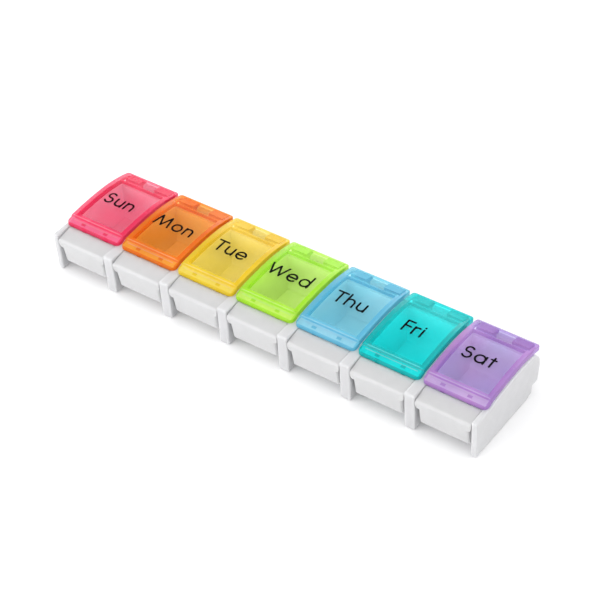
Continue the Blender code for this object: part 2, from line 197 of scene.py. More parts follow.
def arc(x, y, radius, start, end, steps):
    """Points along a circular arc."""
    return bow(x, y, radius, radius, start, end, steps)


def fillet(corners, steps=4):
    """A closed outline from (across, up, radius) corners, each rounded to its radius."""
    points = []
    for i, (across, up, radius) in enumerate(corners):
        here = Vector((across, up))
        if radius <= 0:
            points.append((across, up))
            continue
        before = Vector(corners[i - 1][:2]) - here
        after = Vector(corners[(i + 1) % len(corners)][:2]) - here
        half = before.angle(after) / 2
        reach = min(radius / math.tan(half), 0.49 * before.length, 0.49 * after.length)
        true_radius = reach * math.tan(half)
        bisector = (before.normalized() + after.normalized()).normalized()
        centre = here + bisector * true_radius / math.sin(half)
        first = here + before.normalized() * reach - centre
        last = here + after.normalized() * reach - centre
        start = math.atan2(first.y, first.x)
        sweep = (math.atan2(last.y, last.x) - start + math.pi) % (2 * math.pi) - math.pi
        for k in range(steps + 1):
            angle = start + sweep * k / steps
            points.append(
                (
                    centre.x + true_radius * math.cos(angle),
                    centre.y + true_radius * math.sin(angle),
                )
            )
    return points


def subdivided(outline, longest):
    """The outline with points added so that no side is longer than longest."""
    points = []
    for i, (a, u) in enumerate(outline):
        b, v = outline[(i + 1) % len(outline)]
        parts = max(1, math.ceil(math.hypot(b - a, v - u) / longest))
        points += [(a + (b - a) * k / parts, u + (v - u) * k / parts) for k in range(parts)]
    return points


def mitres(outline):
    """The outward direction at each corner of a closed outline, long enough to offset by 1."""
    following = outline[1:] + outline[:1]
    area = sum(a * v - b * u for (a, u), (b, v) in zip(outline, following))
    turn = 1.0 if area > 0 else -1.0
    found = []
    for i, (spot, next_spot) in enumerate(zip(outline, following)):
        here = Vector(spot)
        before = (here - Vector(outline[i - 1])).normalized()
        after = (Vector(next_spot) - here).normalized()
        first = Vector((before.y, -before.x)) * turn
        second = Vector((after.y, -after.x)) * turn
        both = first + second
        if both.length < 1e-6:
            both = first.copy()
        both.normalize()
        found.append(both / max(0.5, both.dot(first)))
    return found


def offset(outline, distance):
    """The outline moved outwards."""
    moves = mitres(outline)
    return [(a + m.x * distance, u + m.y * distance) for (a, u), m in zip(outline, moves)]


def bridge(bm, first, second):
    """Quads between two closed loops of the same length."""
    count = len(first)
    for i in range(count):
        j = (i + 1) % count
        bm.faces.new((first[i], first[j], second[j], second[i]))


def closed(bm, loops):
    """Bridges the loops in turn, caps the first and the last, and faces it all outwards."""
    bm.faces.new(loops[0])
    bm.faces.new(loops[-1])
    for first, second in zip(loops, loops[1:]):
        bridge(bm, first, second)
    bmesh.ops.recalc_face_normals(bm, faces=bm.faces)
    return bm


def prism(outline, x0, x1, radius=0.0, steps=3):
    """A side-view outline drawn along X, its end edges rounded.  radius may be a function."""
    bm = bmesh.new()
    moves = mitres(outline)
    radii = [radius(a, u) if callable(radius) else radius for a, u in outline]
    steps = steps if max(radii) > 0 else 0
    loops = []
    for end, inwards in ((x0, 1.0), (x1, -1.0)):
        side = []
        for k in range(steps + 1):
            angle = math.pi / 2 * k / steps if steps else math.pi / 2
            loop = []
            for (a, u), m, r in zip(outline, moves, radii):
                inset = r * (1 - math.sin(angle))
                x = end + inwards * r * (1 - math.cos(angle)) if steps else end
                loop.append(bm.verts.new(point(x, a - m.x * inset, u - m.y * inset)))
            side.append(loop)
        loops += side if inwards > 0 else side[::-1]
    return closed(bm, loops)


def loft(sections):
    """A solid through two or more loops of (x, across, up) spots."""
    bm = bmesh.new()
    return closed(bm, [[bm.verts.new(point(*spot)) for spot in spots] for spots in sections])


def block(x0, x1, across0, across1, up0, up1):
    """A box, for cutting."""
    return prism([(across0, up0), (across1, up0), (across1, up1), (across0, up1)], x0, x1)


def rod_x(x0, x1, across, up, radius, sides=24, rounding=0.0):
    """A round bar along X."""
    return prism(arc(across, up, radius, 0, 360 - 360 / sides, sides - 1), x0, x1, rounding)


def rod_z(x, across, radius, low, high, sides=24):
    """A round bar along Z with a chamfered top."""
    bm = bmesh.new()
    loops = []
    chamfer_low, tip = high - PEG_CHAMFER, radius - PEG_CHAMFER
    for up, r in ((low, radius), (chamfer_low, radius), (high, tip)):
        circle = arc(x, across, r, 0, 360 - 360 / sides, sides - 1)
        loops.append([bm.verts.new(point(c, a, up)) for c, a in circle])
    return closed(bm, loops)


def joined(pieces):
    """One bmesh that holds several, which are used up."""
    whole = bmesh.new()
    for bm in pieces:
        mesh = bpy.data.meshes.new("piece")
        bm.to_mesh(mesh)
        bm.free()
        whole.from_mesh(mesh)
        bpy.data.meshes.remove(mesh)
    return whole


def to_object(name, bm):
    """A bmesh as an object in the scene."""
    mesh = bpy.data.meshes.new(name)
    bm.to_mesh(mesh)
    bm.free()
    obj = bpy.data.objects.new(name, mesh)
    bpy.context.scene.collection.objects.link(obj)
    return obj


def combine(bm, pieces, operation):
    """One exact Boolean between bm and all of the pieces together, which are used up."""
    obj = to_object("first", bm)
    other = to_object("second", joined(pieces))
    modifier = obj.modifiers.new(operation, "BOOLEAN")
    modifier.operation = operation
    modifier.solver = "EXACT"
    modifier.object = other
    bpy.context.view_layer.update()
    graph = bpy.context.evaluated_depsgraph_get()
    mesh = bpy.data.meshes.new_from_object(obj.evaluated_get(graph))
    result = bmesh.new()
    result.from_mesh(mesh)
    bpy.data.objects.remove(obj, do_unlink=True)
    bpy.data.objects.remove(other, do_unlink=True)
    bpy.data.meshes.remove(mesh)
    bmesh.ops.remove_doubles(result, verts=result.verts, dist=0.000002)
    return result


def cleaned(bm):
    """The bmesh without the points that Booleans leave in flat faces."""
    bmesh.ops.dissolve_limit(bm, angle_limit=math.radians(0.1), verts=bm.verts, edges=bm.edges)
    return bm


def make_piece(name, bm, materials, body, shift=0.0, sharp=32.0):
    """A finished piece on its body: moved along X, and shaded smooth.

    Edges that turn by more than sharp degrees stay sharp.
    """
    mesh = bpy.data.meshes.new(name)
    bm.to_mesh(mesh)
    for vertex in mesh.vertices:
        vertex.co.x += shift * MM
    for polygon in mesh.polygons:
        polygon.use_smooth = True
    mesh.set_sharp_from_angle(angle=math.radians(sharp))
    for material in materials:
        mesh.materials.append(material)
    obj = bpy.data.objects.new(name, mesh)
    bpy.context.scene.collection.objects.link(obj)
    normals = obj.modifiers.new("normals", "WEIGHTED_NORMAL")
    normals.keep_sharp = True
    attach(obj, body)
    return obj


# ---- lid shape --------------------------------------------------------------------------
def crown(across):
    """Height of the lid's domed top."""
    if across < CREST[0]:
        return CREST[1] - FRONT_DROP * ((CREST[0] - across) / (CREST[0] - STEP)) ** FRONT_POWER
    return CREST[1] - BACK_DROP * ((across - CREST[0]) / (LID_BACK - CREST[0])) ** 2


def crown_points(start, end, steps, lower=0.0):
    """Points along the crown, moved down."""
    spots = [start + (end - start) * i / steps for i in range(steps + 1)]
    return [(across, crown(across) - lower) for across in spots]


def lid_top(across):
    """Height of the lid's outside: a sloped front lip, a small riser, then the crown."""
    lip = LIP_TOP + (min(across, STEP) - LID_FRONT) * LIP_SLOPE
    share = min(1.0, max(0.0, (across - STEP + RISER) / RISER))
    share = share * share * (3 - 2 * share)
    return lip * (1 - share) + crown(max(across, STEP)) * share


def in_notch(x, across):
    """Whether a place is over the tray's knuckle, where the lid's back rim is cut away."""
    return abs(x) < NOTCH_HALF and across > NOTCH_FRONT


def rim_low(x, across):
    """Height of the rim's lower edge."""
    if in_notch(x, across):
        return NOTCH_TOP
    share = min(1.0, max(0.0, (across - STEP + RIM_RISE / 2) / RIM_RISE))
    return LIP_UNDER * (1 - share) + (crown(max(across, STEP)) - RIM) * share


def lid_under(x, across):
    """Height of the underside of the lid's shell."""
    under = crown(across) - SHELL
    return max(under, NOTCH_TOP) if in_notch(x, across) else under


def plan(x, across, half, front, back, front_radius, back_radius):
    """Bends a point of a rectangle into one with round corners.

    Gives its new place, the outward direction there, and its depth in from the edge.
    """
    near_front = across - front < back - across
    radius = front_radius if near_front else back_radius
    side = half - abs(x)
    end = (across - front) if near_front else (back - across)
    if side >= radius or end >= radius:
        if side < end:
            return x, across, (math.copysign(1.0, x), 0.0), side
        return x, across, (0.0, -1.0 if near_front else 1.0), end
    a, b = (radius - side) / radius, (radius - end) / radius
    round_a, round_b = a * math.sqrt(1 - b * b / 2), b * math.sqrt(1 - a * a / 2)
    sign_x, sign_y = math.copysign(1.0, x), -1.0 if near_front else 1.0
    corner_x = sign_x * (half - radius)
    corner_y = front + radius if near_front else back - radius
    length = max(1e-9, math.hypot(round_a, round_b))
    way = (sign_x * round_a / length, sign_y * round_b / length)
    return (
        corner_x + sign_x * radius * round_a,
        corner_y + sign_y * radius * round_b,
        way,
        radius - radius * length,
    )


# the fourth finish is a painted highlight, for thin bright lines along the lip
CLEAR, TINTED_RIM, EDGE, PAINTED_HIGHLIGHT, LIP = range(5)  # a lid's finishes, in slot order
STEEP = 0.75  # a face that looks less straight up or down than this shows as an edge


def lid_finish_at(x, across, upright):
    """Which finish a face of the shell has, from its place and how far it faces up."""
    steep = abs(upright) < STEEP
    # strips across the lip's middle get the paler finish: painted highlight lines
    if x < WINDOW_HALF and any(start < across < end for start, end in PAINTED_HIGHLIGHT_STRIPS):
        return PAINTED_HIGHLIGHT
    over_hook = abs(x - HOOK_MIDDLE) < HOOK_HALF + 0.25
    if steep or (over_hook and HOOK_MARK[0] < across < HOOK_MARK[1]):
        return EDGE
    if LID_FRONT + 0.6 < across < STEP + 0.6 and x < LID_HALF - 0.9:
        return LIP
    window = x < WINDOW_HALF and WINDOW_FRONT < across < RIB_BACK - 0.5
    bosses = x < RIB_HALF + 0.5 and RIB_BACK < across < LID_BACK - 0.8
    return CLEAR if window or bosses else TINTED_RIM


def lid_shell():
    """The lid's shell and rim as one closed mesh.

    Its grid is closest at the rounded edges, the notch, and the lines where a finish ends.
    """
    near_edge = (0.0, 0.05, 0.14, 0.27, EDGE_RADIUS, 0.65, 1.0, 1.5, 2.0)
    xs = [-LID_HALF + d for d in near_edge] + [-LUG_OUTER, -11.6, -10.0, -8.6]
    xs += [-HOOK_MIDDLE - 1.15, -HOOK_MIDDLE + 1.15]
    xs += [-NOTCH_HALF - d for d in (0.38, 0.26, 0.05, -0.07)] + [-3.0, -1.5, 0.0]
    xs += [-x for x in xs[-2::-1]]
    ys = [LID_FRONT + d for d in near_edge[:-2]] + [8.4, 9.25, 9.75, 10.15]
    ys += [STEP - RISER + 0.1 * k for k in range(8)] + [11.7, 12.2]
    ys += [13.0 + 1.61 * k for k in range(21)] + [NOTCH_FRONT + 0.35, NOTCH_FRONT + 0.55]
    ys += [48.4, 49.6] + [LID_BACK - d for d in near_edge[::-1]]
    inner_front, inner_back = STEP + 0.2, LID_BACK - RIM_WALL
    inner_half = LID_HALF - RIM_WALL
    bm = bmesh.new()

    def edge_drop(depth):
        """How far the rounded edge lies below the top, at a depth in from the outline."""
        if depth >= EDGE_RADIUS:
            return 0.0
        reach = EDGE_RADIUS - depth
        return EDGE_RADIUS - math.sqrt(max(0.0, EDGE_RADIUS**2 - reach**2))

    outside = (LID_HALF, LID_FRONT, LID_BACK, *LID_CORNERS)
    inside = (inner_half, inner_front, inner_back, *MOUTH_CORNERS)
    top, under, ways, spots, inner_spots = [], [], [], [], []
    for y in ys:
        for table in (top, under, ways, spots, inner_spots):
            table.append([])
        share = (y - LID_FRONT) / (LID_BACK - LID_FRONT)
        inner_y = inner_front + share * (inner_back - inner_front)
        for x in xs:
            px, py, way, depth = plan(x, y, *outside)
            top[-1].append(bm.verts.new(point(px, py, lid_top(py) - edge_drop(depth))))
            ways[-1].append(way)
            spots[-1].append((px, py))
            inner_x = x * inner_half / LID_HALF
            qx, qy, _, _ = plan(inner_x, inner_y, *inside)
            under[-1].append(bm.verts.new(point(qx, qy, lid_under(qx, qy))))
            inner_spots[-1].append((qx, qy))

    def around(table):
        """The outermost cells of a table, in a loop."""
        last_row, last = len(ys) - 1, len(xs) - 1
        loop = [table[0][i] for i in range(last)]
        loop += [table[j][last] for j in range(last_row)]
        loop += [table[last_row][i] for i in range(last, 0, -1)]
        return loop + [table[j][0] for j in range(last_row, 0, -1)]

    for table in (top, under):
        for j in range(len(ys) - 1):
            for i in range(len(xs) - 1):
                corners = (table[j][i], table[j][i + 1], table[j + 1][i + 1], table[j + 1][i])
                face = bm.faces.new(corners)
                face.normal_update()
                middle = face.calc_center_median()
                across = middle.y / MM + ACROSS_MIDDLE
                face.material_index = lid_finish_at(abs(middle.x) / MM, across, face.normal.z)
    first_wall_face = len(bm.faces)
    edge_ways, edge_spots = around(ways), around(spots)
    previous = around(top)
    for rise, inset in FOOT_ROUND:
        loop = []
        for (x, across), (wx, wy) in zip(edge_spots, edge_ways):
            spot = point(x - wx * inset, across - wy * inset, rim_low(x, across) + rise)
            loop.append(bm.verts.new(spot))
        bridge(bm, previous, loop)
        previous = loop
    loop = [bm.verts.new(point(x, a, rim_low(x, a))) for x, a in around(inner_spots)]
    bridge(bm, previous, loop)
    bridge(bm, loop, around(under))
    bm.faces.ensure_lookup_table()
    for face in bm.faces[first_wall_face:]:
        face.material_index = EDGE
    bmesh.ops.remove_doubles(bm, verts=bm.verts, dist=0.000001)
    bmesh.ops.recalc_face_normals(bm, faces=bm.faces)
    return bm


def lid_rib():
    """The low rib that runs round under the shell, as a closed ring."""
    places = ((-1, STEP), (1, STEP), (1, RIB_BACK), (-1, RIB_BACK))
    corners = [(side * RIB_HALF, across, 1.4) for side, across in places]
    outside = subdivided(fillet(corners), 2.5)
    inside = offset(outside, -RIB_WALL)
    root, foot = SHELL - OVERLAP, SHELL + RIB_DEPTH
    sections = (
        (outside, root),
        (outside, foot - RIB_EDGE),
        (offset(outside, -RIB_EDGE), foot),
        (offset(inside, RIB_EDGE), foot),
        (inside, foot - RIB_EDGE),
        (inside, root),
    )
    bm = bmesh.new()
    rings = []
    for outline, lower in sections:
        spots = [(x, across, crown(max(across, STEP)) - lower) for x, across in outline]
        rings.append([bm.verts.new(point(*spot)) for spot in spots])
    for i, ring in enumerate(rings):
        bridge(bm, ring, rings[(i + 1) % len(rings)])
    bmesh.ops.recalc_face_normals(bm, faces=bm.faces)
    return bm


def lid_lug(x0, x1):
    """A hinge lug with its bore."""
    outline = [(LUG_FRONT, HINGE[1] - 0.7)]
    outline += arc(*HINGE, LUG_RADIUS, 230, 350, 14)
    outline += [(across, crown(across) - OVERLAP) for across in (HINGE[0] + 1.3, LUG_FRONT)]
    bm = prism(outline, x0, x1, 0.3)
    bore = rod_x(x0 - 1.0, x1 + 1.0, *HINGE, BORE_RADIUS)
    return combine(bm, [bore], "DIFFERENCE")


def lid_hook(x):
    """A latch hook under the front lip."""
    corners = [
        (8.7, LIP_UNDER + OVERLAP, 0.0),
        (8.7, 19.5, 0.2),
        (8.45, 19.1, 0.15),
        (8.45, 18.7, 0.15),
        (8.9, 18.2, 0.25),
        (9.4, 18.7, 0.15),
        (9.4, LIP_UNDER + OVERLAP, 0.0),
    ]
    return prism(fillet(corners, 3), x - HOOK_HALF, x + HOOK_HALF, 0.12, 2)


def build_lid():
    """All of one lid, in the middle of the row.  What hangs under the shell is edge-tinted."""
    trim = [
        lid_rib(),
        lid_lug(-LUG_OUTER, -LUG_INNER),
        lid_lug(LUG_INNER, LUG_OUTER),
        lid_hook(-HOOK_MIDDLE),
        lid_hook(HOOK_MIDDLE),
    ]
    for bm in trim:
        for face in bm.faces:
            face.material_index = EDGE
    return joined([lid_shell()] + trim)


# ---- tray shape -------------------------------------------------------------------------
# the second finish is the same white plastic painted lighter inside the compartments: painted
# light for what the translucent walls and lids let in
OUTSIDE, LIGHTENED_INSIDE = range(2)  # the tray's finishes, in slot order


def wall_outline():
    """Side view of a divider: sloped post in front, crowned top, big round at the back."""
    front = [(FOOT_BACK, 0.0, 0.5), (0.0, 0.0, 0.8), (-1.87, 20.6, 0.75), (10.2, 20.8, 0.0)]
    outline = fillet(front, 5)
    outline += crown_points(STEP + 1.1, CORNER[0], 20, RIM + 0.3)[:-1]
    outline += arc(*CORNER, CORNER_RADIUS, 90, 0, 24)
    return outline + UNDERCUT


def wall_rounding(across, up):
    """Radius of a divider's long edges, the same at any height."""
    return min(TRAY_EDGE, max(FINE_EDGE, TRAY_EDGE - (across - POST_EDGE) / 4))


def trough_outline():
    """Side view of the trough: front wall, floor, back wall and hinge rail."""
    back = CORNER[0] + math.sqrt(CORNER_RADIUS**2 - (RAIL_TOP - CORNER[1]) ** 2)
    start = math.degrees(math.atan2(RAIL_TOP - CORNER[1], back - CORNER[0]))
    inner = FRONT_WALL + PLATE
    outline = [(FRONT_WALL, 0.0), (FOOT_BACK, 0.0)] + UNDERCUT[::-1]
    outline += arc(*CORNER, CORNER_RADIUS, 0, start, 10)
    outline += [(BACK_WALL + PLATE, RAIL_TOP), (BACK_WALL + PLATE, BACK_WALL_TOP)]
    outline += [(BACK_WALL, BACK_WALL_TOP)]
    outline += arc(BACK_WALL - FILLET, FLOOR + FILLET, FILLET, 0, -90, 5)
    outline += arc(inner + FILLET, FLOOR + FILLET, FILLET, 270, 180, 5)
    outline += [(inner, FRONT_WALL_TOP), (FRONT_WALL, FRONT_WALL_TOP)]
    return outline


def build_tray():
    """The tray: walls, trough, knuckles and spring brackets, cored from below."""
    middles = [day_middle(day) for day in DAYS]
    edges = [(a + b) / 2 for a, b in zip(middles, middles[1:])]
    tray = prism(trough_outline(), -END_FACE + TRAY_EDGE, END_FACE - TRAY_EDGE)
    end_inner = middles[-1] + PITCH / 2 - WALL_HALF
    spans = [(x - WALL_HALF, x + WALL_HALF) for x in edges]
    spans += [(-END_FACE, -end_inner), (end_inner, END_FACE)]
    walls = [prism(wall_outline(), x0, x1, wall_rounding) for x0, x1 in spans]
    tray = combine(tray, walls, "UNION")
    knuckle = [(HINGE[0] - 2.6, RAIL_TOP - OVERLAP), (HINGE[0] - 0.1, RAIL_TOP - OVERLAP)]
    knuckle += arc(*HINGE, KNUCKLE_RADIUS, -50, 180, 24)
    shelf_front, shelf_back, shelf_low = SPRING_ACROSS - 2.0, FRONT_WALL + 0.5, SHELF_TOP - 1.2
    shelf = [
        (shelf_front, shelf_low),
        (FRONT_WALL - 2.2, shelf_low),
        (shelf_back, SHELF_TOP - 4.0),
        (shelf_back, SHELF_TOP),
        (shelf_front, SHELF_TOP),
    ]
    bore = KNUCKLE_HALF + 1.0
    added, pegs, cores = [], [], []
    for x in middles:
        added.append(prism(knuckle, x - KNUCKLE_HALF, x + KNUCKLE_HALF, 0.2, 2))
        added.append(prism(shelf, x - SHELF_HALF, x + SHELF_HALF, 0.2, 2))
        pegs.append(rod_z(x, SPRING_ACROSS, PEG_RADIUS, SHELF_TOP - OVERLAP, SHELF_TOP + 1.2))
        cores.append(rod_x(x - bore, x + bore, *HINGE, BORE_RADIUS))
        cores.append(block(x - BACK_CORE_HALF, x + BACK_CORE_HALF, *BACK_CORE))
        for side in (-1, 1):
            ends = sorted(x + side * end for end in SOCKET_ENDS)
            cores.append(rod_x(*ends, *PIVOT, SOCKET_RADIUS))
    for x in edges:
        cores.append(block(x - WALL_CORE_HALF, x + WALL_CORE_HALF, *WALL_CORE))
    tray = combine(tray, added, "UNION")
    tray = combine(tray, pegs, "UNION")
    tray = cleaned(combine(tray, cores, "DIFFERENCE"))
    # the compartments' inner faces take the lighter finish: painted light
    for face in tray.faces:
        spot = face.calc_center_median() / MM
        side = min(abs(spot.x - x) for x in middles)
        across = spot.y + ACROSS_MIDDLE
        between = side < PITCH / 2 - WALL_HALF + 0.05 and FLOOR - 0.1 < spot.z < BACK_WALL_TOP
        inside = between and FRONT_WALL + PLATE / 2 < across < BACK_WALL + 0.1
        face.material_index = LIGHTENED_INSIDE if inside else OUTSIDE
    return tray


# ---- button shape -----------------------------------------------------------------------
def front_at(up):
    """How far across the button's sloped front is at a height."""
    share = (up - APRON_FOOT[1]) / (NOSE[1] - APRON_FOOT[1])
    return APRON_FOOT[0] + share * (NOSE[0] - APRON_FOOT[0])


def build_button():
    """The button in the middle of the row: cap, apron, cheeks, trunnions and peg."""
    lower = fillet(
        [
            (APRON_FOOT[0], APRON_FOOT[1], 0.3),
            (front_at(WING_UNDER), WING_UNDER, 0.0),
            (front_at(WING_UNDER) + 0.4, WING_UNDER + 0.05, 0.0),
            (0.2, 17.8, 0.0),
            (7.0, 19.6, 0.0),
            (9.0, 17.3, 0.8),
            (8.7, 14.4, 1.2),
            (5.4, 11.6, 0.6),
            (3.6, APRON_FOOT[1], 0.3),
        ],
        5,
    )
    apron = prism(lower, -APRON_HALF - 1.0, APRON_HALF + 1.0)
    sections = []
    for up in (APRON_FOOT[1] - 1.3, 20.0):
        front = [(-APRON_HALF, front_at(up), 1.5), (APRON_HALF, front_at(up), 1.5)]
        back = [(APRON_HALF, BEYOND[1], 0.0), (-APRON_HALF, BEYOND[1], 0.0)]
        sections.append([(x, across, up) for x, across in fillet(front + back, 8)])
    apron = combine(apron, [loft(sections)], "INTERSECT")
    inner, slope_top = APRON_HALF - BUTTON_WALL, 18.0
    hollow = [
        (front_at(0.0) + BUTTON_WALL, 0.0),
        (front_at(slope_top) + BUTTON_WALL, slope_top),
        (front_at(slope_top) + BUTTON_WALL, ABOVE),
        (BEYOND[1], ABOVE),
        (BEYOND[1], 0.0),
    ]
    apron = combine(apron, [prism(hollow, -inner, inner)], "DIFFERENCE")
    nose_up, bend_up, back_up = 18.45, 20.2, 20.4
    cap = fillet(
        [
            (front_at(WING_UNDER), WING_UNDER, 0.0),
            (front_at(nose_up), nose_up, 1.6),
            (5.4, bend_up, 1.0),
            (CAP_BACK, back_up, 0.3),
            (CAP_BACK, back_up - CAP_SKIN, 0.0),
            (5.5, bend_up - CAP_SKIN, 0.0),
            (NOSE[0] + 1.6, NOSE[1] - 0.75, 0.5),
            (front_at(WING_UNDER) + 1.1, WING_UNDER, 0.0),
        ],
        5,
    )
    wings = []
    for side in (-1, 1):
        corners = [
            (side * (CAP_HALF + 0.5), ABOVE, 0.0),
            (side * (CAP_HALF + 0.5), 17.2, 2.0),
            (side * (APRON_HALF + 0.15), WING_UNDER - 0.6, 0.0),
        ]
        wings += corners[::-side]
    front_view = fillet(wings, 5)
    tapered = loft([[(x, across, up) for x, up in front_view] for across in BEYOND])
    top = combine(prism(cap, -CAP_HALF, CAP_HALF, 0.28), [tapered], "INTERSECT")
    button = combine(top, [apron], "UNION")
    stubs = [rod_z(0.0, SPRING_ACROSS, PEG_RADIUS, 17.2, 19.4)]
    for side in (-1, 1):
        ends = sorted((side * (inner + 0.3), side * TRUNNION_END))
        stubs.append(rod_x(*ends, *PIVOT, TRUNNION_RADIUS, rounding=0.15))
    return cleaned(combine(button, stubs, "UNION"))


def build_spring():
    """A compression coil whose end turns lie closer together."""
    sides, per_turn, turns = 8, 20, 5
    radius, wire = 1.45, 0.22
    steps = turns * per_turn
    bm = bmesh.new()
    loops = []
    for i in range(steps + 1):
        share = i / steps
        eased = share - math.sin(2 * math.pi * share) / (2 * math.pi)
        up = SPRING_LOW + (SPRING_HIGH - SPRING_LOW) * (0.35 * eased + 0.65 * share)
        angle = 2 * math.pi * turns * share
        ring = []
        for k in range(sides):
            turn = 2 * math.pi * k / sides
            reach = radius + wire * math.cos(turn)
            spot = (reach * math.cos(angle), SPRING_ACROSS + reach * math.sin(angle))
            ring.append(bm.verts.new(point(spot[0], spot[1], up + wire * math.sin(turn))))
        loops.append(ring)
    return closed(bm, loops)


# ---- day names --------------------------------------------------------------------------
STROKE = 0.93
LETTER_GAP = 1.15
ARCH = 1.87  # radii of the round parts of the letters
BALL = 2.25
CAP_TOP = 7.0  # heights of the strokes' middles over the baseline
ASCENDER = 7.7
LOWER_TOP = 4.9
BASE = 0.37
BASELINE_ACROSS = 25.9
NAME_SHIFT = -1.0  # along X, from the lid's middle
INK_TOP = 0.06  # over and under the crown
INK_FOOT = -0.02


def glyph(letter):
    """The strokes of a letter, and how far along the row the next letter's gap starts."""
    arch = bow(ARCH, LOWER_TOP - ARCH, ARCH, ARCH, 180, 0) + [(2 * ARCH, BASE)]
    middle = (BASE + LOWER_TOP) / 2
    ball = bow(BALL, middle, BALL, middle - BASE, 0, 360, 28)
    hook = bow(BALL, middle, BALL, middle - BASE, 0, 318, 26)
    stem = [(0.0, BASE), (0.0, LOWER_TOP)]
    shapes = {
        "S": (
            [
                bow(1.9, CAP_TOP - 1.68, 1.65, 1.68, 35, 235)
                + bow(1.9, BASE + 1.8, 1.9, 1.8, 60, -150),
            ],
            3.8,
        ),
        "M": ([[(0, BASE), (1.3, CAP_TOP), (3.85, 0.6), (6.4, CAP_TOP), (7.7, BASE)]], 7.7),
        "T": ([[(0, CAP_TOP), (4.8, CAP_TOP)], [(2.4, CAP_TOP), (2.4, BASE)]], 4.2),
        "W": ([[(0, CAP_TOP), (2.2, 0.5), (4.3, 6.6), (6.4, 0.5), (8.6, CAP_TOP)]], 8.2),
        "F": (
            [
                [(0, BASE), (0, CAP_TOP), (3.3, CAP_TOP)],
                [(0, 3.75), (3.0, 3.75)],
            ],
            2.7,
        ),
        "u": (
            [
                [(0, LOWER_TOP)] + bow(ARCH, BASE + ARCH, ARCH, ARCH, 180, 360),
                [(2 * ARCH, BASE), (2 * ARCH, LOWER_TOP)],
            ],
            2 * ARCH,
        ),
        "n": ([stem, arch], 2 * ARCH),
        "h": ([[(0, BASE), (0, ASCENDER)], arch], 2 * ARCH),
        "r": ([stem, bow(1.6, LOWER_TOP - 1.6, 1.6, 1.6, 180, 65)], 2.0),
        "o": ([ball], 2 * BALL),
        "e": ([[(0.05, middle)] + hook], 2 * BALL),
        "a": ([ball, [(2 * BALL, BASE), (2 * BALL, LOWER_TOP)]], 2 * BALL),
        "d": ([ball, [(2 * BALL, BASE), (2 * BALL, ASCENDER)]], 2 * BALL),
        "i": ([stem, [(0, 6.35), (0, 6.5)]], 0.0),
        "t": ([[(1.05, 6.3), (1.05, BASE)], [(0, LOWER_TOP), (2.2, LOWER_TOP)]], 2.2),
    }
    return shapes[letter]


def build_word(word):
    """A day's name as a thin layer of ink that follows the lid's crown."""
    strokes, x = [], 0.0
    for letter in word:
        lines, width = glyph(letter)
        strokes += [[(x + a, b) for a, b in line] for line in lines]
        x += width + STROKE + LETTER_GAP
    middle = (x - STROKE - LETTER_GAP) / 2 - NAME_SHIFT
    spots, faces = [], []

    def add(polygon):
        faces.append(list(range(len(spots), len(spots) + len(polygon))))
        spots.extend(Vector((a - middle, b + BASELINE_ACROSS)) for a, b in polygon)

    half = STROKE / 2
    for line in strokes:  # a disc at each point and a bar along each side
        for a, b in line:
            add([(a + c, b + d) for c, d in arc(0, 0, half, 7, 337, 11)])
        for (a, b), (c, d) in zip(line, line[1:]):
            length = math.hypot(c - a, d - b)
            if length > 1e-6:
                nx, ny = (b - d) / length * half, (c - a) / length * half
                add([(a - nx, b - ny), (c - nx, d - ny), (c + nx, d + ny), (a + nx, b + ny)])
    edges = []
    for k in range(10):  # lines across the ink, so that it can follow the crown
        level = BASELINE_ACROSS - 0.5 + k
        edges.append((len(spots), len(spots) + 1))
        spots.extend((Vector((-20.0, level)), Vector((20.0, level))))
    flat, _, made, _, _, owners = delaunay_2d_cdt(spots, edges, faces, 0, 0.0001)
    bm = bmesh.new()
    levels = {}
    for lift in (INK_TOP, INK_FOOT):
        levels[lift] = [bm.verts.new(point(v.x, v.y, crown(v.y) + lift)) for v in flat]
    sides = {}
    for face, owner in zip(made, owners):
        if not owner:
            continue
        bm.faces.new([levels[INK_TOP][i] for i in face])
        bm.faces.new([levels[INK_FOOT][i] for i in reversed(face)])
        for i, j in zip(face, face[1:] + face[:1]):
            key = (min(i, j), max(i, j))
            sides[key] = sides.get(key, 0) + 1
    for (i, j), count in sides.items():
        if count == 1:
            above, below = levels[INK_TOP], levels[INK_FOOT]
            bm.faces.new((above[i], above[j], below[j], below[i]))
    loose = [v for v in bm.verts if not v.link_faces]
    bmesh.ops.delete(bm, geom=loose, context="VERTS")
    bmesh.ops.recalc_face_normals(bm, faces=bm.faces)
    return bm


# ---- materials --------------------------------------------------------------------------
POLYPROPYLENE_IOR = 1.49


